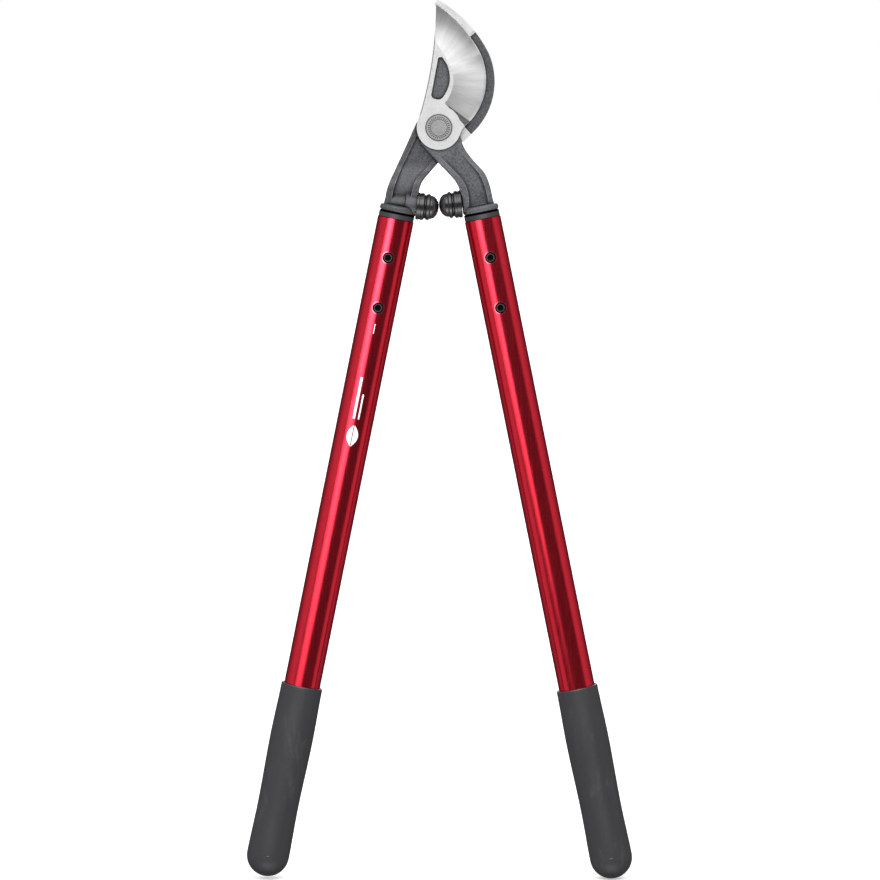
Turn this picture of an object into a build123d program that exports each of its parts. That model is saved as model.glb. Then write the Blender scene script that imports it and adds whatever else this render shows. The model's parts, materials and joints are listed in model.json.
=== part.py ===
from build123d import *
import os
from math import cos, radians, sin

os.makedirs("parts", exist_ok=True)

# Bypass loppers, standing with the blades up and the handles down, closed.
# X is across the tool, Z is up towards the blade tips, and the front faces -Y.
# The origin is on the pivot axis, at the rear face of the pivot nut.
# Every depth below is measured forwards from that rear face.

# ---------------------------------------------------------------- pivot stack
NUT_HEIGHT = 7.0
NUT_ACROSS_FLATS = 17.0
SPRING_WASHER_RADIUS = 11.0
SPRING_WASHER_TOP = 8.3
WASHER_RADIUS = 12.5
WASHER_TOP = 9.45
BOLT_RADIUS = 5.0
BUSH_BORE_RADIUS = 5.05
BUSH_RADIUS = 7.0
KEY_RADIUS = 6.6
KEY_ACROSS_FLATS = 10.6
HEAD_RADIUS = 10.3
HEAD_SEAT = 20.6
HEAD_TOP = 23.2
HEAD_DISC_RADIUS = 6.7
HEAD_MARK_RADIUS = 7.9
HEAD_MARK_COUNT = 30

# ---------------------------------------------------------------- two jaws
HOOK_REAR = 9.5
HOOK_FRONT = 17.0
HOOK_RELIEF = 0.7
BLADE_REAR = 17.15
BLADE_FRONT = 22.0
EDGE_LAND = 0.75
EDGE_THICKNESS = 0.15
BOSS_RADIUS = 17.3
PANEL_DEPTH = 1.4
SPINE_CHAMFER = 0.8

# ---------------------------------------------------------------- arms
ARM_REAR = 9.5
ARM_ROUND = 1.3
HOLLOW_ROUND = 1.2
ARM_FRONT = 24.5
BLADE_ARM_TOP = 21.1
BLADE_WEB = 20.9
HOOK_WEB_TOP = 15.5
HOOK_WEB = 20.3
REAR_WEB = 13.4

# ---------------------------------------------------------------- handles
# Each handle leans outwards and its axis passes outside the pivot, by this much
# on the left side (-1) and on the right side (1).
HANDLE_DEPTH = 17.0
HANDLE_LEAN = 11.4
HANDLE_OFFSET = {-1: 18.9, 1: 19.5}
# Distances along a handle, from the point of its axis that is nearest the pivot.
FLANGE_START = 66.2
FLANGE_END = 71.6
TUBE_START = 76.8
TUBE_END = 585.0
TANG_END = 162.0
SLEEVE_END = 168.0
GRIP_START = 451.1
GRIP_END = 605.4
# The right tube and grip reach this much further down than the left ones.
RIGHT_EXTRA = 2.0
PLUG_FLANGE = 2.0
PLUG_LENGTH = 18.0
SCREW_PLACES = (107.3, 147.3)

FLANGE_RADIUS = 14.2
FLANGE_ROUND = 2.3
TUBE_RADIUS = 14.3
TUBE_BORE = 12.3
COLLAR_RADIUS = 13.95
SLEEVE_RADIUS = 12.27
TANG_RADIUS = 9.5
TANG_ACROSS_FLATS = 14.0
TANG_GAP = 0.04
GRIP_BORE = 14.33
GRIP_END_RADIUS = 16.7

SCREW_HEAD_RADIUS = 4.15
SCREW_HEAD_CHAMFER = 0.7
SCREW_HEAD_SEAT = 8.9
SCREW_HEAD_TOP = 14.1
SCREW_HOLE_RADIUS = 4.3
SCREW_SOCKET = 4.0
SCREW_SOCKET_DEPTH = 2.6
SCREW_RADIUS = 2.5
SCREW_TIP = -7.0

# ---------------------------------------------------------------- bumpers
# The stops face each other across the tool and meet when it is closed.
BUMPER_LEAN = 5.0
# Middle of each base: distance out from the middle of the tool, and height.
LEFT_BUMPER_BASE = (17.75, -61.1)
RIGHT_BUMPER_BASE = (18.0, -59.5)
BUMPER_SEAT_RADIUS = 11.5
# The barrel on the left arm, from its narrow outer end.
BARREL_REACH = 38.6
BARREL_HEIGHT = -58.9
BARREL_NARROW_RADIUS = 7.7
BARREL_RADIUS = 9.6
BARREL_STEP = 12.3
BARREL_LENGTH = 20.9
STUD_RADIUS = 3.0
STUD_HOLE_RADIUS = 3.03
BUMPER_RADIUS = 10.9
BUMPER_STEP_RADIUS = 10.6
BUMPER_GROOVE_RADIUS = 9.5
BUMPER_DOME_RADIUS = 9.7


def front_plane(depth):
    """A plane across the tool; extruding from it goes towards the front."""
    return Plane.XZ.offset(depth)


def side_point(depth, height):
    """A point of a side view, from its depth and its height."""
    return (-depth, height)


def handle_plane(side, along):
    """A plane square to a handle. Its X points right, its Y forwards, its Z down the handle."""
    lean = radians(HANDLE_LEAN)
    across = Vector(cos(lean), 0, side * sin(lean))
    down = Vector(side * sin(lean), 0, -cos(lean))
    nearest = across * (side * HANDLE_OFFSET[side])
    start = Vector(nearest.X, -HANDLE_DEPTH, nearest.Z)
    return Plane(origin=start + down * along, x_dir=across, z_dir=down)


def screw_plane(side, along):
    """A plane across a handle through its axis. Its Z points to the front."""
    square = handle_plane(side, along)
    return Plane(origin=square.origin, x_dir=square.x_dir, z_dir=square.y_dir)


def bumper_plane(side, reach, height):
    """A plane square to a bumper, at a distance out from the middle, facing the other bumper."""
    lean = radians(BUMPER_LEAN)
    facing = Vector(-side * cos(lean), 0, -sin(lean))
    return Plane(origin=(side * reach, -HANDLE_DEPTH, height), x_dir=(0, -1, 0), z_dir=facing)


# ================================================================ handle ends
# Round flange and tang, forged in one with each arm.
HANDLE_ENDS = {}
for side in (-1, 1):
    with BuildPart() as handle_end:
        with BuildSketch(handle_plane(side, FLANGE_START)):
            Circle(FLANGE_RADIUS)
        extrude(amount=FLANGE_END - FLANGE_START)
        fillet(handle_end.edges().filter_by(GeomType.CIRCLE), radius=FLANGE_ROUND)
        with BuildSketch(handle_plane(side, FLANGE_END)):
            Circle(TANG_RADIUS)
            Rectangle(TANG_ACROSS_FLATS, 40, mode=Mode.INTERSECT)
        extrude(amount=TANG_END - FLANGE_END)
        for place in SCREW_PLACES:
            with BuildSketch(screw_plane(side, place).offset(SCREW_HEAD_SEAT)):
                Circle(SCREW_HOLE_RADIUS)
            extrude(amount=5, mode=Mode.SUBTRACT)
            with BuildSketch(screw_plane(side, place).offset(-12)):
                Circle(SCREW_RADIUS)
            extrude(amount=24, mode=Mode.SUBTRACT)
    HANDLE_ENDS[side] = handle_end.part

# ================================================================ hook forging
# Side view of the arm: flat behind, and stepping forwards below the crossing.
with BuildPart() as hook_arm:
    with BuildSketch(front_plane(0)):
        with BuildLine():
            Polyline((18.4, -10.6), (-0.4, -27.5), (-10.6, -39.1))
            Spline(
                (-10.6, -39.1),
                (-13.9, -44.2),
                (-15.9, -52.0),
                tangents=((-0.67, -0.74), (-0.16, -0.99)),
            )
            Polyline((-15.9, -52.0), (-18.6, -66.4), (-43.9, -61.3), (-41.9, -54.5))
            Spline(
                (-41.9, -54.5),
                (-39.2, -43.8),
                (-34.1, -32.6),
                tangents=((0.1, 1.0), (0.43, 0.9)),
            )
            Polyline((-34.1, -32.6), (-17.1, 4.6), (0, 10), (18.4, -10.6))
        make_face()
    extrude(amount=40)
    with BuildSketch(Plane.YZ.offset(-90)):
        with BuildLine():
            Polyline(
                side_point(ARM_FRONT, -46),
                side_point(ARM_FRONT, -80),
                side_point(ARM_REAR, -80),
                side_point(ARM_REAR, 30),
                side_point(HOOK_FRONT, 30),
                side_point(HOOK_FRONT, -29),
            )
            Spline(
                side_point(HOOK_FRONT, -29),
                side_point(ARM_FRONT, -46),
                tangents=((0, -1), (0, -1)),
            )
        make_face()
    extrude(amount=180, mode=Mode.INTERSECT)
    fillet(hook_arm.edges().filter_by(Axis.Y, reverse=True), radius=ARM_ROUND)

# Hollows that leave the arm an I section, in front and behind.
with BuildPart() as hook_arm_hollow:
    with BuildSketch(front_plane(HOOK_WEB_TOP)):
        with BuildLine():
            Polyline((-17.4, -6.4), (5.0, -14.0), (-5.0, -26.6), (-15.4, -37.8))
            Spline(
                (-15.4, -37.8),
                (-19.2, -43.6),
                (-21.4, -52.0),
                tangents=((-0.67, -0.74), (-0.16, -0.99)),
            )
            Polyline((-21.4, -52.0), (-23.2, -60.7), (-37.8, -57.6), (-36.2, -52.0))
            Spline(
                (-36.2, -52.0),
                (-34.2, -44.0),
                (-30.2, -33.8),
                tangents=((0.1, 1.0), (0.43, 0.9)),
            )
            Line((-30.2, -33.8), (-17.4, -6.4))
        make_face()
    extrude(amount=20)
    with BuildSketch(Plane.YZ.offset(-90)):
        with BuildLine():
            Polyline(
                side_point(HOOK_WEB, -50),
                side_point(HOOK_WEB, -80),
                side_point(40, -80),
                side_point(40, 0),
                side_point(HOOK_WEB_TOP, 0),
                side_point(HOOK_WEB_TOP, -26),
            )
            Spline(
                side_point(HOOK_WEB_TOP, -26),
                side_point(HOOK_WEB, -50),
                tangents=((0, -1), (0, -1)),
            )
        make_face()
    extrude(amount=180, mode=Mode.INTERSECT)
    fillet(hook_arm_hollow.edges().filter_by(Axis.Y, reverse=True), radius=HOLLOW_ROUND)

with BuildPart() as hook_arm_rear_hollow:
    with BuildSketch(front_plane(ARM_REAR)):
        with BuildLine():
            Polyline((-11.2, -29.0), (-14.8, -37.4))
            Spline(
                (-14.8, -37.4),
                (-18.4, -43.2),
                (-20.4, -52.0),
                tangents=((-0.67, -0.74), (-0.16, -0.99)),
            )
            Polyline((-20.4, -52.0), (-22.2, -61.5), (-39.0, -58.2), (-37.3, -52.5))
            Spline(
                (-37.3, -52.5),
                (-35.0, -44.3),
                (-30.4, -33.8),
                tangents=((0.1, 1.0), (0.43, 0.9)),
            )
            Polyline((-30.4, -33.8), (-24.0, -20.0), (-11.2, -29.0))
        make_face()
    extrude(amount=REAR_WEB - ARM_REAR)

# The jaw: a crescent that the blade passes in front of.
with BuildPart() as hook_jaw:
    with BuildSketch(front_plane(HOOK_REAR)):
        with BuildLine():
            Line((15.2, 8.2), (9.0, -12.0))
            Line((9.0, -12.0), (19.6, -11.2))
            ThreePointArc((19.6, -11.2), (23.2, -8.0), (26.3, -4.3))
            ThreePointArc((26.3, -4.3), (43.7, 37.0), (39.3, 57.6))
            ThreePointArc((39.3, 57.6), (24.7, 79.3), (0.9, 98.8))
            ThreePointArc((0.9, 98.8), (-2.1, 98.7), (-2.9, 96.2))
            Line((-2.9, 96.2), (-2.7, 95.2))
            ThreePointArc((-2.7, 95.2), (13.3, 74.4), (24.5, 51.0))
            ThreePointArc((24.5, 51.0), (27.0, 37.0), (15.2, 8.2))
        make_face()
    extrude(amount=HOOK_FRONT - HOOK_REAR)
    # The face outside the blade's path is left as forged, a little below the ground face.
    with BuildSketch(front_plane(HOOK_FRONT)):
        with BuildLine():
            ThreePointArc((19.4, 1.4), (35.3, 37.0), (31.6, 56.8))
            Line((31.6, 56.8), (24.2, 70.9))
            Line((24.2, 70.9), (34.5, 79.0))
            Line((34.5, 79.0), (60.0, 60.0))
            Line((60.0, 60.0), (60.0, -10.0))
            Line((60.0, -10.0), (28.0, -8.2))
            Line((28.0, -8.2), (19.4, 1.4))
        make_face()
    extrude(amount=-HOOK_RELIEF, mode=Mode.SUBTRACT)

# The tip of the jaw is ground to a slope outside the blade's path.
with BuildPart() as hook_tip_grind:
    with BuildSketch(front_plane(HOOK_FRONT - 3.2)):
        with BuildLine():
            ThreePointArc((31.6, 78.2), (24.7, 83.6), (-2.0, 103.0))
            Line((-2.0, 103.0), (-10.0, 103.0))
            Line((-10.0, 103.0), (-10.0, 112.0))
            Line((-10.0, 112.0), (45.0, 90.0))
            Line((45.0, 90.0), (31.6, 78.2))
        make_face()
    with BuildSketch(front_plane(HOOK_FRONT)):
        with BuildLine():
            ThreePointArc((24.7, 72.5), (20.1, 79.4), (-2.9, 98.2))
            Line((-2.9, 98.2), (-10.9, 98.2))
            Line((-10.9, 98.2), (-10.0, 112.0))
            Line((-10.0, 112.0), (45.0, 90.0))
            Line((45.0, 90.0), (24.7, 72.5))
        make_face()
    loft(ruled=True)

# Stepped barrel across the arm, which carries the left bumper.
with BuildPart() as bumper_barrel:
    with BuildSketch(bumper_plane(-1, BARREL_REACH, BARREL_HEIGHT)):
        Circle(BARREL_NARROW_RADIUS)
    extrude(amount=BARREL_LENGTH)
    with BuildSketch(bumper_plane(-1, BARREL_REACH, BARREL_HEIGHT).offset(BARREL_STEP)):
        Circle(BARREL_RADIUS)
    extrude(amount=BARREL_LENGTH - BARREL_STEP)
    fillet(bumper_barrel.edges().filter_by(GeomType.CIRCLE).sort_by(Axis.X)[:3], radius=0.8)

with BuildPart() as hook:
    add(hook_arm.part)
    add(hook_arm_hollow.part, mode=Mode.SUBTRACT)
    add(hook_arm_rear_hollow.part, mode=Mode.SUBTRACT)
    add(hook_jaw.part)
    add(hook_tip_grind.part, mode=Mode.SUBTRACT)
    # The eye, and the bore for the bush.
    with BuildSketch(front_plane(HOOK_REAR)):
        Circle(BOSS_RADIUS)
    extrude(amount=HOOK_FRONT - HOOK_REAR)
    with BuildSketch(front_plane(HOOK_REAR)):
        Circle(BUSH_RADIUS + 0.01)
    extrude(amount=HOOK_FRONT - HOOK_REAR, mode=Mode.SUBTRACT)
    # The stepped barrel that carries the left bumper.
    add(bumper_barrel.part)
    with BuildSketch(handle_plane(-1, FLANGE_END)):
        Circle(FLANGE_RADIUS + 3)
    extrude(amount=20, mode=Mode.SUBTRACT)
    add(HANDLE_ENDS[-1])
    # Flat seat and threaded hole for the bumper.
    with BuildSketch(bumper_plane(-1, *LEFT_BUMPER_BASE)):
        Circle(BUMPER_SEAT_RADIUS)
    extrude(amount=6, mode=Mode.SUBTRACT)
    with BuildSketch(bumper_plane(-1, *LEFT_BUMPER_BASE)):
        Circle(STUD_HOLE_RADIUS)
    extrude(amount=-14, mode=Mode.SUBTRACT)
hook.part.label = "hook"
export_step(hook.part, "parts/hook.step")

# ================================================================ blade forging
# The ground head: flat face, bevel and pivot boss.
with BuildPart() as blade_head:
    with BuildSketch(front_plane(BLADE_REAR)):
        with BuildLine():
            ThreePointArc((-17.0, 3.0), (-7.6, 40.0), (-2.2, 95.0))
            ThreePointArc((-2.2, 95.0), (-1.8, 95.6), (-1.2, 95.3))
            ThreePointArc((-1.2, 95.3), (16.9, 79.7), (29.4, 63.6))
            ThreePointArc((29.4, 63.6), (37.0, 37.0), (24.3, 4.7))
            Line((24.3, 4.7), (20.4, 1.2))
            ThreePointArc((20.4, 1.2), (18.1, -1.7), (16.6, -5.0))
            ThreePointArc((16.6, -5.0), (0, -BOSS_RADIUS), (-17.0, 3.0))
        make_face()
    extrude(amount=BLADE_FRONT - BLADE_REAR)
    front_edges = blade_head.faces().sort_by(Axis.Y)[0].edges()
    chamfer(front_edges.sort_by(Axis.X)[0], length=SPINE_CHAMFER)

# What the grinding leaves: it slopes from the flat face down to the cutting edge,
# in an upper and a lower facet, and ends in a steep shoulder above the boss.
with BuildPart() as blade_grind_limit:
    with BuildSketch(front_plane(BLADE_REAR + EDGE_LAND)):
        with BuildLine():
            ThreePointArc((-22.8, 107.8), (12.4, 82.3), (31.1, 56.2))
            ThreePointArc((31.1, 56.2), (35.4, 37.0), (23.0, 5.8))
            Line((23.0, 5.8), (49.3, -26.2))
            Line((49.3, -26.2), (49.3, -70.0))
            Line((49.3, -70.0), (-60.0, -70.0))
            Line((-60.0, -70.0), (-60.0, 107.8))
            Line((-60.0, 107.8), (-22.8, 107.8))
        make_face()
    with BuildSketch(front_plane(BLADE_FRONT)):
        with BuildLine():
            ThreePointArc((-20.0, 91.4), (-2.7, 67.5), (9.8, 46.6))
            ThreePointArc((9.8, 46.6), (11.0, 33.0), (4.7, 19.2))
            Line((4.7, 19.2), (43.3, -25.1))
            Line((43.3, -25.1), (43.3, -70.0))
            Line((43.3, -70.0), (-60.0, -70.0))
            Line((-60.0, -70.0), (-60.0, 91.4))
            Line((-60.0, 91.4), (-20.0, 91.4))
        make_face()
    loft(ruled=True)

# The narrow second bevel, right along the cutting edge.
with BuildPart() as blade_edge_limit:
    with BuildSketch(front_plane(BLADE_REAR + EDGE_THICKNESS)):
        with BuildLine():
            ThreePointArc((-22.0, 109.2), (13.5, 83.5), (32.6, 56.9))
            ThreePointArc((32.6, 56.9), (37.0, 37.0), (24.3, 4.9))
            Line((24.3, 4.9), (50.5, -25.1))
            Line((50.5, -25.1), (50.5, -70.0))
            Line((50.5, -70.0), (-60.0, -70.0))
            Line((-60.0, -70.0), (-60.0, 109.2))
            Line((-60.0, 109.2), (-22.0, 109.2))
        make_face()
    with BuildSketch(front_plane(BLADE_REAR + EDGE_LAND)):
        with BuildLine():
            ThreePointArc((-22.8, 107.8), (12.4, 82.3), (31.1, 56.2))
            ThreePointArc((31.1, 56.2), (35.4, 37.0), (23.0, 5.8))
            Line((23.0, 5.8), (49.3, -26.2))
            Line((49.3, -26.2), (49.3, -70.0))
            Line((49.3, -70.0), (-60.0, -70.0))
            Line((-60.0, -70.0), (-60.0, 107.8))
            Line((-60.0, 107.8), (-22.8, 107.8))
        make_face()
    loft(ruled=True)
    with BuildSketch(front_plane(BLADE_REAR)):
        with Locations((0, 20)):
            Rectangle(160, 220)
    extrude(amount=EDGE_THICKNESS)

with BuildPart() as blade_arm:
    with BuildSketch(front_plane(0)):
        with BuildLine():
            Polyline((-15.3, 0.0), (-13.9, -12.6), (-0.4, -27.5), (10.2, -38.6))
            Spline(
                (10.2, -38.6),
                (14.7, -45.0),
                (17.2, -53.5),
                tangents=((0.68, -0.73), (0.14, -0.99)),
            )
            Polyline((17.2, -53.5), (19.0, -66.4), (43.9, -61.3), (42.3, -55.5))
            Spline(
                (42.3, -55.5),
                (39.4, -43.4),
                (33.2, -32.2),
                tangents=((-0.2, 0.98), (-0.7, 0.71)),
            )
            Spline(
                (33.2, -32.2),
                (23.4, -21.0),
                (17.9, -10.4),
                tangents=((-0.7, 0.71), (-0.25, 0.97)),
            )
            Polyline((17.9, -10.4), (14.0, 0.0), (-15.3, 0.0))
        make_face()
    extrude(amount=40)
    with BuildSketch(Plane.YZ.offset(-90)):
        with BuildLine():
            Polyline(
                side_point(BLADE_REAR, -28.5),
                side_point(BLADE_REAR, 20),
                side_point(BLADE_ARM_TOP, 20),
                side_point(BLADE_ARM_TOP, -16),
            )
            Spline(
                side_point(BLADE_ARM_TOP, -16),
                side_point(ARM_FRONT, -44),
                tangents=((0, -1), (0, -1)),
            )
            Polyline(
                side_point(ARM_FRONT, -44),
                side_point(ARM_FRONT, -80),
                side_point(ARM_REAR, -80),
                side_point(ARM_REAR, -46),
            )
            Spline(
                side_point(ARM_REAR, -46),
                side_point(BLADE_REAR, -28.5),
                tangents=((0, 1), (0, 1)),
            )
        make_face()
    extrude(amount=180, mode=Mode.INTERSECT)
    # The rims are rounded below the boss.
    rims = blade_arm.edges().filter_by(Axis.Y, reverse=True).filter_by(Axis.X, reverse=True)
    fillet(rims.filter_by_position(Axis.Z, -80, -13), radius=ARM_ROUND)

with BuildPart() as blade_arm_hollow:
    with BuildSketch(front_plane(BLADE_WEB)):
        with BuildLine():
            Polyline((1.5, -23.0), (14.6, -36.6))
            Spline(
                (14.6, -36.6),
                (20.4, -44.2),
                (23.2, -54.0),
                tangents=((0.7, -0.71), (0.1, -0.99)),
            )
            Line((23.2, -54.0), (23.9, -62.6))
            ThreePointArc((23.9, -62.6), (30.6, -60.4), (39.0, -60.0))
            Line((39.0, -60.0), (38.0, -54.0))
            Spline(
                (38.0, -54.0),
                (34.8, -42.6),
                (28.6, -32.2),
                tangents=((-0.2, 0.98), (-0.7, 0.71)),
            )
            Polyline((28.6, -32.2), (18.6, -20.6), (14.0, -12.0), (1.5, -23.0))
        make_face()
    extrude(amount=20)
    fillet(blade_arm_hollow.faces().sort_by(Axis.Y)[-1].edges(), radius=HOLLOW_ROUND)

with BuildPart() as blade_arm_rear_hollow:
    with BuildSketch(front_plane(ARM_REAR)):
        with BuildLine():
            Polyline((11.6, -33.5), (14.6, -36.6))
            Spline(
                (14.6, -36.6),
                (20.4, -44.2),
                (23.2, -54.0),
                tangents=((0.7, -0.71), (0.1, -0.99)),
            )
            Polyline((23.2, -54.0), (24.1, -61.4), (38.6, -58.4), (38.0, -54.0))
            Spline(
                (38.0, -54.0),
                (34.8, -42.6),
                (28.6, -32.2),
                tangents=((-0.2, 0.98), (-0.7, 0.71)),
            )
            Polyline((28.6, -32.2), (25.6, -28.8), (11.6, -33.5))
        make_face()
    extrude(amount=REAR_WEB - ARM_REAR)

# Sunken panel in the flat face, left as forged, with sloping walls.
with BuildPart() as blade_panel:
    with BuildSketch(front_plane(BLADE_FRONT)):
        with BuildLine():
            Line((-5.7, 27.0), (-0.7, 53.6))
            ThreePointArc((-0.7, 53.6), (1.4, 55.1), (3.7, 53.4))
            ThreePointArc((3.7, 53.4), (8.6, 40.0), (4.2, 25.2))
            ThreePointArc((4.2, 25.2), (1.2, 22.3), (-3.0, 22.4))
            ThreePointArc((-3.0, 22.4), (-5.4, 24.1), (-5.7, 27.0))
        make_face()
    with BuildSketch(front_plane(BLADE_FRONT - PANEL_DEPTH)):
        with BuildLine():
            Line((-5.0, 26.9), (0.0, 53.1))
            ThreePointArc((0.0, 53.1), (1.5, 54.2), (3.0, 53.0))
            ThreePointArc((3.0, 53.0), (7.9, 40.0), (3.6, 25.6))
            ThreePointArc((3.6, 25.6), (1.0, 23.0), (-2.8, 23.1))
            ThreePointArc((-2.8, 23.1), (-4.7, 24.5), (-5.0, 26.9))
        make_face()
    loft(ruled=True)

with BuildPart() as blade:
    add(blade_grind_limit.part)
    add(blade_edge_limit.part)
    add(blade_head.part, mode=Mode.INTERSECT)
    add(blade_panel.part, mode=Mode.SUBTRACT)
    add(blade_arm.part)
    add(blade_arm_hollow.part, mode=Mode.SUBTRACT)
    add(blade_arm_rear_hollow.part, mode=Mode.SUBTRACT)
    # Round boss, with a seat for the bolt head and a keyed hole for its neck.
    with BuildSketch(front_plane(BLADE_REAR)):
        Circle(BOSS_RADIUS)
    extrude(amount=BLADE_FRONT - BLADE_REAR)
    with BuildSketch(front_plane(HEAD_SEAT)):
        Circle(HEAD_RADIUS + 0.15)
    extrude(amount=5, mode=Mode.SUBTRACT)
    with BuildSketch(front_plane(BLADE_REAR)):
        Circle(KEY_RADIUS + 0.03)
        Rectangle(KEY_ACROSS_FLATS + 0.06, 40, mode=Mode.INTERSECT)
    extrude(amount=5, mode=Mode.SUBTRACT)
    add(HANDLE_ENDS[1])
    # Flat seat and threaded hole for the bumper.
    with BuildSketch(bumper_plane(1, *RIGHT_BUMPER_BASE)):
        Circle(BUMPER_SEAT_RADIUS)
    extrude(amount=6, mode=Mode.SUBTRACT)
    with BuildSketch(bumper_plane(1, *RIGHT_BUMPER_BASE)):
        Circle(STUD_HOLE_RADIUS)
    extrude(amount=-9.5, mode=Mode.SUBTRACT)
blade.part.label = "blade"
export_step(blade.part, "parts/blade.step")

# ================================================================ pivot
with BuildPart() as pivot_bolt:
    with BuildSketch(front_plane(0)):
        Circle(BOLT_RADIUS)
    extrude(amount=HEAD_SEAT)
    chamfer(pivot_bolt.faces().sort_by(Axis.Y)[-1].edges(), length=0.6)
    with BuildSketch(front_plane(BLADE_REAR + 0.05)):
        Circle(KEY_RADIUS)
        Rectangle(KEY_ACROSS_FLATS, 40, mode=Mode.INTERSECT)
    extrude(amount=HEAD_SEAT - BLADE_REAR - 0.05)
    with BuildSketch(front_plane(HEAD_SEAT)):
        Circle(HEAD_RADIUS)
    extrude(amount=HEAD_TOP - HEAD_SEAT)
    chamfer(pivot_bolt.faces().sort_by(Axis.Y)[0].edges(), length=0.5)
    # A shallow middle disc and a ring of plain notches.
    with BuildSketch(front_plane(HEAD_TOP)):
        Circle(HEAD_DISC_RADIUS)
        Circle(HEAD_DISC_RADIUS - 0.35, mode=Mode.SUBTRACT)
    extrude(amount=-0.25, mode=Mode.SUBTRACT)
    with BuildSketch(front_plane(HEAD_TOP)):
        with PolarLocations(HEAD_MARK_RADIUS, HEAD_MARK_COUNT):
            Rectangle(1.3, 0.55)
    extrude(amount=-0.35, mode=Mode.SUBTRACT)
pivot_bolt.part.label = "pivot_bolt"
export_step(pivot_bolt.part, "parts/pivot_bolt.step")

with BuildPart() as pivot_bush:
    with BuildSketch(front_plane(HOOK_REAR)):
        Circle(BUSH_RADIUS)
        Circle(BUSH_BORE_RADIUS, mode=Mode.SUBTRACT)
    extrude(amount=BLADE_REAR - 0.05 - HOOK_REAR)
pivot_bush.part.label = "pivot_bush"
export_step(pivot_bush.part, "parts/pivot_bush.step")

with BuildPart() as pivot_washer:
    with BuildSketch(front_plane(SPRING_WASHER_TOP)):
        Circle(WASHER_RADIUS)
        Circle(BOLT_RADIUS + 0.2, mode=Mode.SUBTRACT)
    extrude(amount=WASHER_TOP - SPRING_WASHER_TOP)
    chamfer(pivot_washer.edges().filter_by(GeomType.CIRCLE).sort_by(SortBy.LENGTH)[-2:], length=0.25)
pivot_washer.part.label = "pivot_washer"
export_step(pivot_washer.part, "parts/pivot_washer.step")

# Cone shaped disc spring between the nut and the washer.
with BuildPart() as pivot_spring_washer:
    with BuildSketch(Plane.XY):
        with BuildLine():
            Polyline(
                (BOLT_RADIUS + 0.2, -NUT_HEIGHT),
                (BOLT_RADIUS + 0.2, -NUT_HEIGHT - 0.9),
                (SPRING_WASHER_RADIUS, -SPRING_WASHER_TOP),
                (SPRING_WASHER_RADIUS, -NUT_HEIGHT - 0.4),
                close=True,
            )
        make_face()
    revolve(axis=Axis.Y)
pivot_spring_washer.part.label = "pivot_spring_washer"
export_step(pivot_spring_washer.part, "parts/pivot_spring_washer.step")

with BuildPart() as pivot_nut:
    with BuildSketch(front_plane(0)):
        RegularPolygon(NUT_ACROSS_FLATS / 2, 6, major_radius=False)
        Circle(BOLT_RADIUS + 0.03, mode=Mode.SUBTRACT)
    extrude(amount=NUT_HEIGHT)
    # The corners are turned down at the outer end.
    with BuildSketch(Plane.XY):
        with BuildLine():
            Polyline((8.0, 0.5), (12.0, 0.5), (12.0, -2.2), (8.0, 0.5))
        make_face()
    revolve(axis=Axis.Y, mode=Mode.SUBTRACT)
pivot_nut.part.label = "pivot_nut"
export_step(pivot_nut.part, "parts/pivot_nut.step")

# ================================================================ bumpers
# Length of the first step, whole length, and how deep the stud goes into the arm.
BUMPERS = {
    "left": {"side": -1, "base": LEFT_BUMPER_BASE, "step": 6.4, "length": 17.65, "in": 11.5},
    "right": {"side": 1, "base": RIGHT_BUMPER_BASE, "step": 6.1, "length": 17.9, "in": 8.5},
}

for name, stop in BUMPERS.items():
    base = bumper_plane(stop["side"], *stop["base"])
    step = stop["step"]
    length = stop["length"]
    # The outline is half of the bumper's long section.
    section = Plane(origin=base.origin, x_dir=base.x_dir, z_dir=base.z_dir.cross(base.x_dir))
    with BuildPart() as bumper:
        with BuildSketch(section):
            with BuildLine():
                Polyline((0, 0), (BUMPER_RADIUS - 0.8, 0), (BUMPER_RADIUS, -0.8))
                Polyline((BUMPER_RADIUS, -0.8), (BUMPER_RADIUS, -step + 0.8))
                Polyline((BUMPER_RADIUS, -step + 0.8), (BUMPER_RADIUS - 0.9, -step))
                Polyline((BUMPER_RADIUS - 0.9, -step), (BUMPER_GROOVE_RADIUS, -step))
                Polyline((BUMPER_GROOVE_RADIUS, -step), (BUMPER_GROOVE_RADIUS, -step - 1.5))
                Polyline((BUMPER_GROOVE_RADIUS, -step - 1.5), (BUMPER_STEP_RADIUS, -step - 1.9))
                Polyline((BUMPER_STEP_RADIUS, -step - 1.9), (BUMPER_STEP_RADIUS, -step - 4.2))
                Polyline((BUMPER_STEP_RADIUS, -step - 4.2), (BUMPER_DOME_RADIUS, -step - 4.8))
                Spline(
                    (BUMPER_DOME_RADIUS, -step - 4.8),
                    (7.3, -length + 2.6),
                    (0, -length),
                    tangents=((0.0, -1.0), (-1.0, 0.0)),
                )
                Line((0, -length), (0, 0))
            make_face()
        revolve(axis=Axis(base.origin, base.z_dir))
        with BuildSketch(base):
            Circle(STUD_HOLE_RADIUS)
        extrude(amount=9, mode=Mode.SUBTRACT)
    bumper.part.label = name + "_bumper"
    export_step(bumper.part, "parts/" + name + "_bumper.step")

    with BuildPart() as bumper_stud:
        with BuildSketch(base.offset(-stop["in"])):
            Circle(STUD_RADIUS)
        extrude(amount=stop["in"] + 8.8)
        chamfer(bumper_stud.edges().filter_by(GeomType.CIRCLE), length=0.5)
    bumper_stud.part.label = name + "_bumper_stud"
    export_step(bumper_stud.part, "parts/" + name + "_bumper_stud.step")

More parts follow.
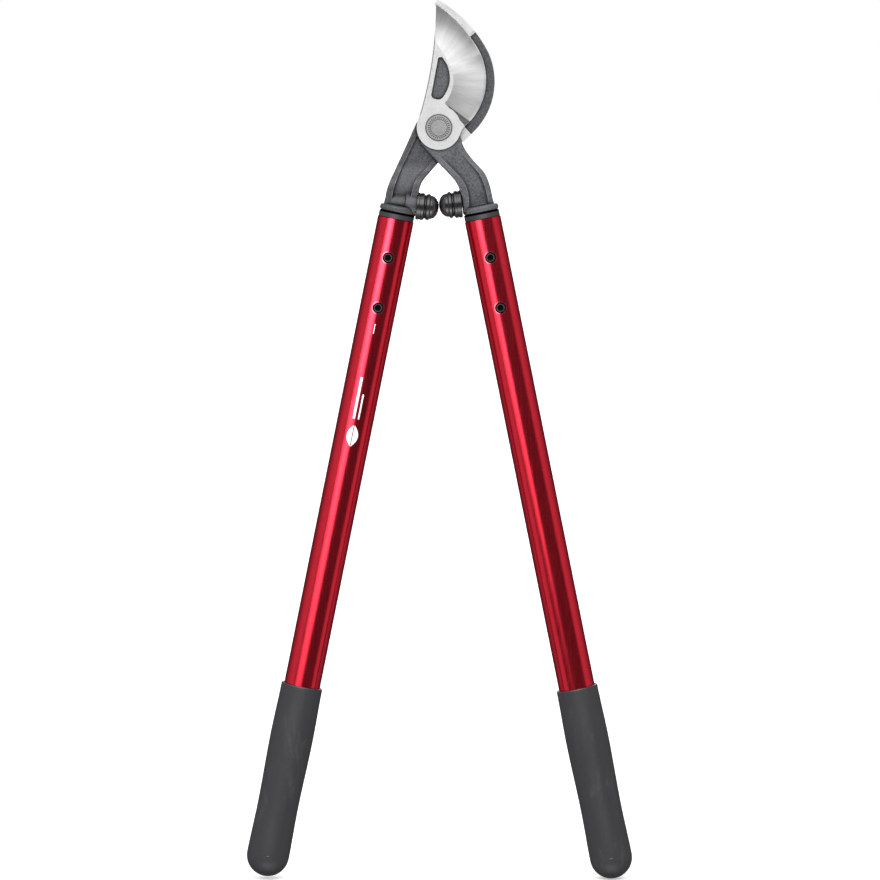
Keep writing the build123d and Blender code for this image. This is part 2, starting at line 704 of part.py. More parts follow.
# ================================================================ handles
for name, side in {"left": -1, "right": 1}.items():
    tube_end = TUBE_END + (RIGHT_EXTRA if side > 0 else 0)
    grip_start = GRIP_START + (RIGHT_EXTRA if side > 0 else 0)
    grip_end = GRIP_END + (RIGHT_EXTRA if side > 0 else 0)
    # Round tube with two clearance holes for the screw heads.
    with BuildPart() as tube:
        with BuildSketch(handle_plane(side, TUBE_START)):
            Circle(TUBE_RADIUS)
            Circle(TUBE_BORE, mode=Mode.SUBTRACT)
        extrude(amount=tube_end - TUBE_START)
        for place in SCREW_PLACES:
            with BuildSketch(screw_plane(side, place)):
                Circle(SCREW_HOLE_RADIUS)
            extrude(amount=20, mode=Mode.SUBTRACT)
    tube.part.label = name + "_tube"
    export_step(tube.part, "parts/" + name + "_tube.step")

    # Collar above the tube, in one piece with the sleeve that fills the space around the tang.
    with BuildPart() as collar:
        with BuildSketch(handle_plane(side, FLANGE_END)):
            Circle(COLLAR_RADIUS)
        extrude(amount=TUBE_START - FLANGE_END)
        chamfer(collar.edges().filter_by(GeomType.CIRCLE), length=0.5)
        with BuildSketch(handle_plane(side, TUBE_START)):
            Circle(SLEEVE_RADIUS)
        extrude(amount=SLEEVE_END - TUBE_START)
        with BuildSketch(handle_plane(side, FLANGE_END)):
            Circle(TANG_RADIUS + TANG_GAP)
            Rectangle(TANG_ACROSS_FLATS + 2 * TANG_GAP, 40, mode=Mode.INTERSECT)
        extrude(amount=TANG_END - FLANGE_END, mode=Mode.SUBTRACT)
        for place in SCREW_PLACES:
            with BuildSketch(screw_plane(side, place)):
                Circle(SCREW_HOLE_RADIUS)
            extrude(amount=20, mode=Mode.SUBTRACT)
    collar.part.label = name + "_collar"
    export_step(collar.part, "parts/" + name + "_collar.step")

    # Two socket head screws.
    with BuildPart() as handle_screws:
        for place in SCREW_PLACES:
            with BuildSketch(screw_plane(side, place).offset(SCREW_HEAD_SEAT)):
                Circle(SCREW_HEAD_RADIUS)
            extrude(amount=SCREW_HEAD_TOP - SCREW_HEAD_SEAT)
            with BuildSketch(screw_plane(side, place).offset(SCREW_TIP)):
                Circle(SCREW_RADIUS)
            extrude(amount=SCREW_HEAD_SEAT - SCREW_TIP)
        chamfer(handle_screws.faces().sort_by(Axis.Y)[:2].edges(), length=SCREW_HEAD_CHAMFER)
        for place in SCREW_PLACES:
            with BuildSketch(screw_plane(side, place).offset(SCREW_HEAD_TOP)):
                RegularPolygon(SCREW_SOCKET / 2, 6, major_radius=False)
            extrude(amount=-SCREW_SOCKET_DEPTH, mode=Mode.SUBTRACT)
    handle_screws.part.label = name + "_handle_screws"
    export_step(handle_screws.part, "parts/" + name + "_handle_screws.step")

    # Cup shaped plug that closes the lower end of the tube.
    with BuildPart() as end_plug:
        with BuildSketch(handle_plane(side, tube_end)):
            Circle(TUBE_RADIUS - 0.3)
        extrude(amount=PLUG_FLANGE)
        with BuildSketch(handle_plane(side, tube_end)):
            Circle(SLEEVE_RADIUS)
        extrude(amount=-PLUG_LENGTH)
        with BuildSketch(handle_plane(side, tube_end - PLUG_LENGTH)):
            Circle(SLEEVE_RADIUS - 2.2)
        extrude(amount=PLUG_LENGTH - 0.5, mode=Mode.SUBTRACT)
    end_plug.part.label = name + "_end_plug"
    export_step(end_plug.part, "parts/" + name + "_end_plug.step")

    # Closed end grip, fuller near its top and at its end.
    axis_plane = handle_plane(side, 0)
    section = Plane(origin=axis_plane.origin, x_dir=axis_plane.x_dir, z_dir=-axis_plane.y_dir)
    round_start = grip_end - GRIP_END_RADIUS
    with BuildPart() as grip:
        with BuildSketch(section):
            with BuildLine():
                Polyline((0, tube_end + PLUG_FLANGE), (GRIP_BORE, tube_end + PLUG_FLANGE))
                Line((GRIP_BORE, tube_end + PLUG_FLANGE), (GRIP_BORE, grip_start))
                Line((GRIP_BORE, grip_start), (15.6, grip_start))
                ThreePointArc(
                    (15.6, grip_start),
                    (16.1, grip_start + 0.2),
                    (16.3, grip_start + 0.8),
                )
                Spline(
                    (16.3, grip_start + 0.8),
                    (16.95, grip_start + 42.0),
                    (16.1, grip_start + 98.0),
                    (GRIP_END_RADIUS, round_start),
                    tangents=((0.02, 1.0), (0.0, 1.0)),
                )
                ThreePointArc(
                    (GRIP_END_RADIUS, round_start),
                    (
                        GRIP_END_RADIUS * cos(radians(45)),
                        round_start + GRIP_END_RADIUS * sin(radians(45)),
                    ),
                    (0, grip_end),
                )
                Line((0, grip_end), (0, tube_end + PLUG_FLANGE))
            make_face()
        revolve(axis=Axis(axis_plane.origin, axis_plane.z_dir))
    grip.part.label = name + "_grip"
    export_step(grip.part, "parts/" + name + "_grip.step")
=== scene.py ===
import json
import math

import bpy
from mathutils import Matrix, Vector

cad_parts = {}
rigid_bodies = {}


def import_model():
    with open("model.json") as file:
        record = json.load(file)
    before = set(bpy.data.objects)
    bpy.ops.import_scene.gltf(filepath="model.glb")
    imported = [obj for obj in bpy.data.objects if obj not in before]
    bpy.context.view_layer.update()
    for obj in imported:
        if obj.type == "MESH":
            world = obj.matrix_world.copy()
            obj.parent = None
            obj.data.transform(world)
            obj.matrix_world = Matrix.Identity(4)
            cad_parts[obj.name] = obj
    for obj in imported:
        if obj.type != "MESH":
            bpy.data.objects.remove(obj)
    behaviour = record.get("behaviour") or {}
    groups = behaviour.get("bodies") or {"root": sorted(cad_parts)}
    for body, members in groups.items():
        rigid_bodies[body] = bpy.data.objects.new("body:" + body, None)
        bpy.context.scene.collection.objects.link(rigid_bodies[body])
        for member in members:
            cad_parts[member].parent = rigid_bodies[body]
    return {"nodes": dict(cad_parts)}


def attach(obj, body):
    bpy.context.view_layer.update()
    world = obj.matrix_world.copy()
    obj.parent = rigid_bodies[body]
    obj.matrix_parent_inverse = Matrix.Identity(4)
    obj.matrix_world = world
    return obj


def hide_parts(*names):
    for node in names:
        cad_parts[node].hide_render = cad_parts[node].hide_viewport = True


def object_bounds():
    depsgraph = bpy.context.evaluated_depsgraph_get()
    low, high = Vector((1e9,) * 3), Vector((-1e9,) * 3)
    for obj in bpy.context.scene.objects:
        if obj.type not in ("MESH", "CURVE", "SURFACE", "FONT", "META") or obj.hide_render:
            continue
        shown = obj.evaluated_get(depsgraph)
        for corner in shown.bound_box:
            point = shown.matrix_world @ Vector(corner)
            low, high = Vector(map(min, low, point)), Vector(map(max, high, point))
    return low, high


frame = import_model()
cad_low, cad_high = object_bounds()
nodes = frame["nodes"]

# The same lengths as the CAD source, in metres.
MM = 0.001
HANDLE_DEPTH = 0.017
HANDLE_LEAN = math.radians(11.4)
HANDLE_OFFSET = {-1: 0.0189, 1: 0.0195}
RIGHT_EXTRA = 0.002
TUBE_RADIUS = 0.0143
GRIP_START = 0.4511
GRIP_END = 0.6054
PLUG_END = 0.587
GRIP_BORE = 0.01433
GRIP_END_RADIUS = 0.0167
BLADE_REAR = 0.01715
BLADE_FRONT = 0.022
BLADE_PANEL = 0.0206
HOOK_FRONT = 0.017
BOSS_RADIUS = 0.0173
BUMPER_LEAN = math.radians(5.0)
BUMPER_BASE = {-1: (0.01775, -0.0611), 1: (0.018, -0.0595)}
BUMPER_STEP = {-1: 0.0064, 1: 0.0061}
BUMPER_LENGTH = {-1: 0.01765, 1: 0.0179}
BUMPER_EXTRA = 0.08 * MM  # added to the CAD length, so that the domes nearly meet but stay apart
BUMPER_BORE = 0.00303
BUMPER_BORE_DEPTH = 0.009
BOLT_TOP = 0.0232
SCREW_PLACES = (0.1073, 0.1473)  # along the handle
SCREW_HEAD_HIGHLIGHT = (0.0024, 0.0033)  # radii of the painted highlight ring on a screw head's flat top
SCREW_HOLE_HIGHLIGHT = (0.0040, 0.0053)  # radii of the painted highlight round a screw hole
FLANGE_END = 0.0716
JOINT_SHADOW_WIDTH = 0.0015  # of the painted shadow in the joint under a flange
AROUND = 128  # steps round a turned piece

# The point that the grinding marks fan out from, and the facets' painted reflections around it: greys of
# painted light and shade, each a (place, grey) pair: upwards of the crease the place runs outward, below
# it the place turns up.
GRIND_CENTRE = (-0.01165, 0.0375)
GRIND_REACH = (0.024, 0.058)  # how far out the painted reflections begin and end
CREASE_ANGLE = math.radians(24.5)  # of the crease between the two ground facets
CREASE_SOFT = 0.006
LOWEST_ANGLE = math.radians(-45.0)
UPPER_PAINTED_REFLECTIONS = [(0.0, 0.68), (0.18, 0.64), (0.30, 0.55), (0.42, 0.47), (0.54, 0.34), (0.65, 0.235)]
UPPER_PAINTED_REFLECTIONS += [(0.73, 0.19), (0.92, 0.125)]
LOWER_PAINTED_REFLECTIONS = [(0.0, 0.50), (0.16, 0.60), (0.33, 0.62), (0.50, 0.70), (0.68, 0.76)]
LOWER_PAINTED_REFLECTIONS += [(0.85, 0.78), (1.0, 0.70)]

# The studio. Angles are in degrees: around is 0 towards the viewer and grows to the right.
ROOM_LIGHT = 1.05
GAP_AROUND = (-55.0, 62.0)
GAP_HEIGHT = (-24.0, 12.0)
GAP_DARK = 0.83
FRONT_AROUND = (-42.0, 32.0)
FRONT_HEIGHT = (16.0, 60.0)
FRONT_LIGHT = 3.0
LOW_AROUND = (-45.0, 45.0)
LOW_HEIGHT = (-66.0, -38.0)
LOW_LIGHT = 3.5
TOP_LIGHT = 0.5
FLOOR_GLOW = 0.35

# The lamps: the place and power of one above the front and of one behind.
SOFT_BOX_PLACE = (-0.14, -1.4, 0.8)
SOFT_BOX_POWER = 90.0
BACK_LIGHT_PLACE = (0.1, 1.6, 0.4)
BACK_LIGHT_POWER = 22.0
LAMP_SIZE = 0.9

# The strip light beside the tubes, in metres, and its strength at each height.
STRIP_ACROSS = (-1.22, -0.11)
STRIP_FULL = (-0.62, -0.30)  # where it has its full strength
STRIP_DEPTH = 0.95
STRIP_HEIGHTS = (-0.70, 0.10)
STRIP_STRENGTH = 18.0
STRIP_LEVELS = [(-0.62, 0.0), (-0.56, 0.5), (-0.49, 2.2), (-0.40, 3.6), (-0.345, 4.5), (-0.225, 6.5)]
STRIP_LEVELS += [(-0.10, 9.0), (-0.005, 13.0), (0.03, 18.0)]


def handle_frame(side):
    """Origin and directions of a handle: the nearest point to the pivot, across and down."""
    across = Vector((math.cos(HANDLE_LEAN), 0, side * math.sin(HANDLE_LEAN)))
    down = Vector((side * math.sin(HANDLE_LEAN), 0, -math.cos(HANDLE_LEAN)))
    start = across * (side * HANDLE_OFFSET[side])
    start.y = -HANDLE_DEPTH
    return start, across, down


# ------------------------------------------------------------------ node helpers
def new_material(name):
    """A material with an empty node tree, its shader and its output."""
    material = bpy.data.materials.new(name)
    material.use_nodes = True
    tree = material.node_tree
    tree.nodes.clear()
    output = tree.nodes.new("ShaderNodeOutputMaterial")
    shader = tree.nodes.new("ShaderNodeBsdfPrincipled")
    tree.links.new(shader.outputs["BSDF"], output.inputs["Surface"])
    return material, tree, shader


def add(tree, kind, **values):
    """A node with its properties set by name."""
    node = tree.nodes.new(kind)
    for key, value in values.items():
        setattr(node, key, value)
    return node


def plug(tree, socket, value):
    """Links a socket into an input, or sets the input to a number or a colour."""
    if isinstance(value, bpy.types.NodeSocket):
        tree.links.new(value, socket)
    else:
        socket.default_value = value


def calculate(tree, operation, first, second=0.0):
    """A Math node; each input is a socket or a number."""
    node = add(tree, "ShaderNodeMath", operation=operation)
    plug(tree, node.inputs[0], first)
    plug(tree, node.inputs[1], second)
    return node.outputs["Value"]


def object_place(tree):
    return add(tree, "ShaderNodeTexCoord").outputs["Object"]


def noise(tree, scale, detail=4.0, roughness=0.5, stretch=(1, 1, 1), vector=None):
    """Noise as a factor output, in object space unless a vector is given."""
    mapping = add(tree, "ShaderNodeMapping")
    mapping.inputs["Scale"].default_value = stretch
    texture = add(tree, "ShaderNodeTexNoise")
    texture.inputs["Scale"].default_value = scale
    texture.inputs["Detail"].default_value = detail
    texture.inputs["Roughness"].default_value = roughness
    tree.links.new(vector or object_place(tree), mapping.inputs["Vector"])
    tree.links.new(mapping.outputs["Vector"], texture.inputs["Vector"])
    return texture.outputs["Fac"]


def ramp(tree, factor, stops):
    """A colour ramp; each stop is (place, colour)."""
    node = add(tree, "ShaderNodeValToRGB")
    elements = node.color_ramp.elements
    while len(elements) < len(stops):
        elements.new(0.5)
    for element, (place, colour) in zip(elements, stops):
        element.position = place
        element.color = (*colour, 1.0)
    tree.links.new(factor, node.inputs["Fac"])
    return node.outputs["Color"]


def remap(tree, value, low, high, to_low, to_high):
    """Takes low..high to to_low..to_high, held at the ends."""
    node = add(tree, "ShaderNodeMapRange")
    node.inputs["From Min"].default_value = low
    node.inputs["From Max"].default_value = high
    node.inputs["To Min"].default_value = to_low
    node.inputs["To Max"].default_value = to_high
    tree.links.new(value, node.inputs["Value"])
    return node.outputs["Result"]


def blend_colour(tree, factor, first, second, kind="MIX"):
    """Mixes two colours, each a socket or a plain colour."""
    node = add(tree, "ShaderNodeMix", data_type="RGBA", blend_type=kind)
    plug(tree, node.inputs["Factor"], factor)
    for socket, value in ((node.inputs[6], first), (node.inputs[7], second)):
        plug(tree, socket, value if isinstance(value, bpy.types.NodeSocket) else (*value, 1.0))
    return node.outputs[2]


def bump(tree, height, strength, distance):
    """A normal raised by a height input."""
    node = add(tree, "ShaderNodeBump")
    node.inputs["Strength"].default_value = strength
    node.inputs["Distance"].default_value = distance
    tree.links.new(height, node.inputs["Height"])
    return node.outputs["Normal"]


def edge_mask(tree, radius):
    """1 along the edges of a piece, 0 on its open faces."""
    rounded = add(tree, "ShaderNodeBevel", samples=6)
    rounded.inputs["Radius"].default_value = radius
    plain = add(tree, "ShaderNodeNewGeometry")
    product = add(tree, "ShaderNodeVectorMath", operation="DOT_PRODUCT")
    tree.links.new(rounded.outputs["Normal"], product.inputs[0])
    tree.links.new(plain.outputs["Normal"], product.inputs[1])
    return remap(tree, product.outputs["Value"], 0.98, 0.80, 0.0, 1.0)


def painted_corner_shade(tree, distance):
    """1 in the open, falling towards 0 in corners and narrow gaps: the mask by which the materials paint
    shade there.
    """
    node = add(tree, "ShaderNodeAmbientOcclusion", samples=8)
    node.inputs["Distance"].default_value = distance
    return node.outputs["AO"]


def screw_distance(tree, side):
    """How far a point is from the nearer screw axis of a handle, in metres."""
    start, _, down = handle_frame(side)
    reaches = []
    for place in SCREW_PLACES:
        centre = start + down * place
        offset = add(tree, "ShaderNodeVectorMath", operation="SUBTRACT")
        offset.inputs[1].default_value = centre
        tree.links.new(object_place(tree), offset.inputs[0])
        flat = add(tree, "ShaderNodeVectorMath", operation="MULTIPLY")
        flat.inputs[1].default_value = (1.0, 0.0, 1.0)
        tree.links.new(offset.outputs["Vector"], flat.inputs[0])
        length = add(tree, "ShaderNodeVectorMath", operation="LENGTH")
        tree.links.new(flat.outputs["Vector"], length.inputs[0])
        reaches.append(length.outputs["Value"])
    return calculate(tree, "MINIMUM", *reaches)


def along_handle(tree, side):
    """How far down a handle a point is, in metres."""
    product = add(tree, "ShaderNodeVectorMath", operation="DOT_PRODUCT")
    product.inputs[1].default_value = handle_frame(side)[2]
    tree.links.new(object_place(tree), product.inputs[0])
    return product.outputs["Value"]


def grey(value):
    return (value, value, value)


# ------------------------------------------------------------------ materials
def red_anodised(name, side):
    """Polished and anodised tube, with faint drawing lines along it and a painted highlight round each
    screw hole.
    """
    material, tree, shader = new_material(name)
    shader.inputs["Metallic"].default_value = 1.0
    shader.inputs["Specular Tint"].default_value = (0.68, 0.52, 0.56, 1.0)
    drawn = noise(tree, 60.0, 3.0, 0.6, stretch=(14, 14, 0.6))
    specks = noise(tree, 420.0, 2.0, 0.5)
    colour = ramp(tree, drawn, [(0.3, (0.43, 0.0165, 0.030)), (0.7, (0.49, 0.0205, 0.035))])
    marks = remap(tree, specks, 0.69, 0.76, 0.0, 0.35)
    colour = blend_colour(tree, marks, colour, (0.60, 0.10, 0.12))
    away = screw_distance(tree, side)
    # painted highlight: a lighter ring round each screw hole on the front of the tube
    inner, outer = SCREW_HOLE_HIGHLIGHT
    hole_highlight = remap(tree, away, inner, inner + 0.4 * MM, 0.0, 0.3)
    hole_highlight = calculate(tree, "MULTIPLY", hole_highlight, remap(tree, away, outer - 0.6 * MM, outer, 1.0, 0.0))
    split = add(tree, "ShaderNodeSeparateXYZ")
    tree.links.new(object_place(tree), split.inputs["Vector"])
    front = remap(tree, split.outputs["Y"], -HANDLE_DEPTH - 0.5 * MM, -HANDLE_DEPTH, 1.0, 0.0)
    hole_highlight = calculate(tree, "MULTIPLY", hole_highlight, front)
    colour = blend_colour(tree, hole_highlight, colour, (0.70, 0.20, 0.24))
    tree.links.new(colour, shader.inputs["Base Color"])
    tree.links.new(remap(tree, drawn, 0.3, 0.7, 0.18, 0.23), shader.inputs["Roughness"])
    tree.links.new(bump(tree, drawn, 0.05, 0.0001), shader.inputs["Normal"])
    return material


def dark_forging(name, value, wear_and_sheen):
    """Forged and coated steel: grainy, lighter along the edges with wear and a painted highlight, and
    with painted shade in the corners.
    """
    material, tree, shader = new_material(name)
    grain = noise(tree, 880.0, 6.0, 0.7)
    patches = noise(tree, 190.0, 4.0, 0.6)
    low, high = value * 0.42, value * 1.75
    stops = [(0.34, (low, low * 1.03, low * 1.14)), (0.66, (high, high * 1.03, high * 1.12))]
    colour = ramp(tree, grain, stops)
    shade = ramp(tree, patches, [(0.3, grey(0.84)), (0.7, grey(1.14))])
    colour = blend_colour(tree, 1.0, colour, shade, "MULTIPLY")
    # painted highlight and wear: the edges are lighter, broken up by the grain
    edge_sheen_and_scuffs = remap(tree, grain, 0.35, 0.6, 0.45, 1.0)
    edge_sheen_and_scuffs = calculate(tree, "MULTIPLY", edge_mask(tree, 0.0010), edge_sheen_and_scuffs)
    colour = blend_colour(tree, edge_sheen_and_scuffs, colour, (wear_and_sheen, wear_and_sheen * 1.01, wear_and_sheen * 1.05))
    # painted shade: darker in corners and grooves
    shade = remap(tree, painted_corner_shade(tree, 0.0028), 0.66, 0.97, 0.02, 1.0)
    colour = blend_colour(tree, 1.0, colour, shade, "MULTIPLY")
    tree.links.new(colour, shader.inputs["Base Color"])
    shader.inputs["Metallic"].default_value = 0.25
    tree.links.new(remap(tree, grain, 0.3, 0.7, 0.36, 0.56), shader.inputs["Roughness"])
    tree.links.new(bump(tree, grain, 0.55, 0.00035), shader.inputs["Normal"])
    return material


def ground_bevel():
    """The ground facets: radial grinding streaks, and painted reflections, one tone above the crease and
    one below, which stand in for the light and shade that the steel reflects.
    """
    material, tree, shader = new_material("ground_bevel")
    shader.inputs["Metallic"].default_value = 1.0
    centred = add(tree, "ShaderNodeVectorMath", operation="SUBTRACT")
    centred.inputs[1].default_value = (GRIND_CENTRE[0], 0.0, GRIND_CENTRE[1])
    tree.links.new(object_place(tree), centred.inputs[0])
    split = add(tree, "ShaderNodeSeparateXYZ")
    tree.links.new(centred.outputs["Vector"], split.inputs["Vector"])
    x, _, z = split.outputs
    angle = calculate(tree, "ARCTAN2", z, x)
    squares = calculate(tree, "ADD", calculate(tree, "POWER", x, 2.0), calculate(tree, "POWER", z, 2.0))
    reach = calculate(tree, "SQRT", squares)
    place = add(tree, "ShaderNodeCombineXYZ")
    tree.links.new(angle, place.inputs["X"])
    tree.links.new(calculate(tree, "MULTIPLY", reach, 1.6), place.inputs["Y"])
    broad = noise(tree, 7.0, 3.0, 0.6, vector=place.outputs["Vector"])
    fine = noise(tree, 70.0, 6.0, 0.75, vector=place.outputs["Vector"])

    outward = remap(tree, reach, *GRIND_REACH, 0.0, 1.0)
    upper = ramp(tree, outward, [(at, grey(value)) for at, value in UPPER_PAINTED_REFLECTIONS])
    # painted highlight: the upper facet is lighter just over the crease
    over_crease = remap(tree, angle, CREASE_ANGLE, CREASE_ANGLE + 0.24, 1.0, 0.0)
    painted_highlight = calculate(tree, "MULTIPLY", over_crease, remap(tree, outward, 0.28, 0.60, 0.0, 0.55))
    upper = blend_colour(tree, painted_highlight, upper, grey(0.60))
    turn = remap(tree, angle, LOWEST_ANGLE, CREASE_ANGLE, 0.0, 1.0)
    lower = ramp(tree, turn, [(at, grey(value)) for at, value in LOWER_PAINTED_REFLECTIONS])
    # painted shade: the lower facet is darker near the grinding centre
    shade = ramp(tree, outward, [(0.06, grey(0.82)), (0.30, grey(0.95)), (0.45, grey(1.0))])
    lower = blend_colour(tree, remap(tree, turn, 0.75, 0.95, 1.0, 0.0), lower, shade, "MULTIPLY")
    # painted dark reflection on the lower facet just under the crease
    under_crease = remap(tree, turn, 0.70, 0.95, 0.0, 1.0)
    painted_dark_reflection = calculate(tree, "MULTIPLY", under_crease, remap(tree, outward, 0.25, 0.70, 0.0, 0.64))
    lower = blend_colour(tree, painted_dark_reflection, lower, grey(0.08))
    above = remap(tree, angle, CREASE_ANGLE - CREASE_SOFT, CREASE_ANGLE + CREASE_SOFT, 0.0, 1.0)
    tone = blend_colour(tree, above, lower, upper)
    shade = ramp(tree, broad, [(0.3, grey(0.85)), (0.7, grey(1.10))])
    tone = blend_colour(tree, 1.0, tone, shade, "MULTIPLY")
    shade = ramp(tree, fine, [(0.25, grey(0.86)), (0.75, grey(1.12))])
    tone = blend_colour(tree, 1.0, tone, shade, "MULTIPLY")
    tree.links.new(tone, shader.inputs["Base Color"])
    tree.links.new(remap(tree, fine, 0.25, 0.75, 0.38, 0.48), shader.inputs["Roughness"])
    tree.links.new(bump(tree, fine, 0.08, 0.0001), shader.inputs["Normal"])
    return material


def ground_flat(name, value, rough, grain=0.10, gap=0.0012):
    """Flat ground or turned steel with a fine, even grain, and painted shade in corners and gaps within
    the given reach.
    """
    material, tree, shader = new_material(name)
    shader.inputs["Metallic"].default_value = 1.0
    fine = noise(tree, 900.0, 5.0, 0.7)
    clouds = noise(tree, 90.0, 3.0, 0.5)
    colour = ramp(tree, fine, [(0.3, grey(value * (1 - grain))), (0.7, grey(value * (1 + grain)))])
    shade = ramp(tree, clouds, [(0.3, grey(0.95)), (0.7, grey(1.04))])
    colour = blend_colour(tree, 1.0, colour, shade, "MULTIPLY")
    # painted shade: darker in corners and narrow gaps
    shade = remap(tree, painted_corner_shade(tree, gap), 0.3, 0.9, 0.25, 1.0)
    colour = blend_colour(tree, 1.0, colour, shade, "MULTIPLY")
    tree.links.new(colour, shader.inputs["Base Color"])
    tree.links.new(remap(tree, fine, 0.3, 0.7, rough * 0.9, rough * 1.1), shader.inputs["Roughness"])
    tree.links.new(bump(tree, fine, 0.15, 0.0001), shader.inputs["Normal"])
    return material


def soft_rubber(name, value, rough, wear_and_sheen, fine_bump, shine, side=0):
    """Moulded rubber or plastic: a fine matt grain with faint scuffs, and painted shade in corners and
    narrow gaps.

    With a side given, it has a painted shadow, black and without shine, in the joint under that handle's
    flange.
    """
    material, tree, shader = new_material(name)
    grain = noise(tree, 1500.0, 4.0, 0.6)
    scuff = noise(tree, 35.0, 8.0, 0.75, stretch=(3.0, 3.0, 0.7))
    low, high = value * 0.9, value * 1.1
    stops = [(0.3, (low, low * 1.03, low * 1.17)), (0.7, (high, high * 1.03, high * 1.17))]
    colour = ramp(tree, grain, stops)
    marks = remap(tree, scuff, 0.55, 0.74, 0.0, 0.7)
    colour = blend_colour(tree, marks, colour, (wear_and_sheen, wear_and_sheen * 1.02, wear_and_sheen * 1.10))
    # painted shade: darker in corners and narrow gaps
    shade = remap(tree, painted_corner_shade(tree, 0.003), 0.55, 0.95, 0.03, 1.0)
    colour = blend_colour(tree, 1.0, colour, shade, "MULTIPLY")
    if side:
        # painted shadow: black and without shine in the joint under the flange
        end = FLANGE_END + JOINT_SHADOW_WIDTH
        joint = remap(tree, along_handle(tree, side), end - 0.6 * MM, end, 0.0, 1.0)
        colour = blend_colour(tree, joint, grey(0.0004), colour)
        tree.links.new(calculate(tree, "MULTIPLY", joint, shine), shader.inputs["Specular IOR Level"])
    else:
        shader.inputs["Specular IOR Level"].default_value = shine
    tree.links.new(colour, shader.inputs["Base Color"])
    tree.links.new(remap(tree, scuff, 0.35, 0.7, rough * 0.92, rough * 1.1), shader.inputs["Roughness"])
    tree.links.new(bump(tree, grain, fine_bump, 0.0001), shader.inputs["Normal"])
    return material


def screw_finish(name, side):
    """Black screws with a painted highlight in a ring on the flat top of the head, between the socket
    and the edge of the head.
    """
    material, tree, shader = new_material(name)
    shader.inputs["Metallic"].default_value = 1.0
    fine = noise(tree, 900.0, 5.0, 0.7)
    colour = ramp(tree, fine, [(0.3, grey(0.005)), (0.7, grey(0.014))])
    away = screw_distance(tree, side)
    # painted highlight: the flat top of the head is lighter than its socket and its edge
    inner, outer = SCREW_HEAD_HIGHLIGHT
    ring = remap(tree, away, inner, inner + 0.3 * MM, 0.0, 1.0)
    ring = calculate(tree, "MULTIPLY", ring, remap(tree, away, outer - 0.3 * MM, outer, 1.0, 0.0))
    ring = calculate(tree, "MULTIPLY", ring, remap(tree, fine, 0.3, 0.6, 0.6, 1.0))
    colour = blend_colour(tree, ring, colour, grey(0.15))
    tree.links.new(colour, shader.inputs["Base Color"])
    tree.links.new(remap(tree, fine, 0.3, 0.7, 0.32, 0.42), shader.inputs["Roughness"])
    return material


def white_print():
    """Printed ink, slightly worn."""
    material, tree, shader = new_material("white_print")
    wear = noise(tree, 800.0, 4.0, 0.7)
    colour = ramp(tree, wear, [(0.25, (0.70, 0.62, 0.62)), (0.45, grey(0.9))])
    tree.links.new(colour, shader.inputs["Base Color"])
    tree.links.new(remap(tree, wear, 0.3, 0.7, 0.35, 0.5), shader.inputs["Roughness"])
    return material


MATERIALS = {
    "left_anodised": red_anodised("left_anodised_tube", -1),
    "right_anodised": red_anodised("right_anodised_tube", 1),
    # one coated steel on both arms: the hook's darker grey is painted shade and the blade's lighter grey
    # painted light, evening out how the studio lights them
    "hook_forging": dark_forging("hook_forging", 0.050, 0.26),
    "blade_forging": dark_forging("blade_forging", 0.072, 0.28),
    # painted shade: a near black copy of the forging for the walls of the blade's sunken panel
    "dark_wall": dark_forging("dark_wall", 0.010, 0.02),
    "ground_bevel": ground_bevel(),
    "ground_flat": ground_flat("ground_flat", 0.66, 0.46),
    # on the hook's sloping tip the wider reach paints a shadow band along the blade's edge
    "hook_tip": ground_flat("hook_tip", 0.50, 0.50, gap=0.0032),
    # painted shade: a darker copy of the ground steel for the blade's spine and side walls
    "spine_edge": ground_flat("spine_edge", 0.30, 0.4),
    "bolt_steel": ground_flat("bolt_steel", 0.40, 0.42, grain=0.30),
    "bolt_shadow": ground_flat("bolt_shadow", 0.07, 0.5),
    "plated_steel": ground_flat("plated_steel", 0.45, 0.3),
    "bronze": ground_flat("bronze", 0.30, 0.4),
    "left_screw": screw_finish("left_screw_black", -1),
    "right_screw": screw_finish("right_screw_black", 1),
    "bumper_rubber": soft_rubber("bumper_rubber", 0.010, 0.20, 0.026, 0.10, 0.62),
    "grip_rubber": soft_rubber("grip_rubber", 0.0094, 0.48, 0.026, 0.25, 0.28),
    "dark_plastic": soft_rubber("dark_plastic", 0.009, 0.46, 0.018, 0.2, 0.28),
    "left_collar": soft_rubber("left_collar_plastic", 0.009, 0.46, 0.018, 0.2, 0.28, -1),
    "right_collar": soft_rubber("right_collar_plastic", 0.009, 0.46, 0.018, 0.2, 0.28, 1),
    "white_print": white_print(),
}

WHOLE_NODE = {
    "left_tube": "left_anodised",
    "right_tube": "right_anodised",
    "left_collar": "left_collar",
    "right_collar": "right_collar",
    "left_handle_screws": "left_screw",
    "right_handle_screws": "right_screw",
    "left_end_plug": "dark_plastic",
    "right_end_plug": "dark_plastic",
    "left_bumper_stud": "plated_steel",
    "right_bumper_stud": "plated_steel",
    "pivot_bush": "bronze",
    "pivot_washer": "plated_steel",
    "pivot_spring_washer": "plated_steel",
    "pivot_nut": "plated_steel",
}

for name, look in WHOLE_NODE.items():
    nodes[name].data.materials.clear()
    nodes[name].data.materials.append(MATERIALS[look])


# ------------------------------------------------------------------ finishes face by face
PANEL_LEFT = -0.0062  # the sunken panel of the blade: its sides, foot and top
PANEL_RIGHT = 0.0090
PANEL_FOOT = 0.0218
PANEL_TOP = 0.0556
ARM_TOP = -0.0178  # all of the blade below this is its arm


def finish_faces(node, looks, chooser):
    """Gives each face of a node one of several finishes, named by the chooser."""
    mesh = nodes[node].data
    mesh.materials.clear()
    for look in looks:
        mesh.materials.append(MATERIALS[look])
    for face in mesh.polygons:
        face.material_index = looks.index(chooser(face))


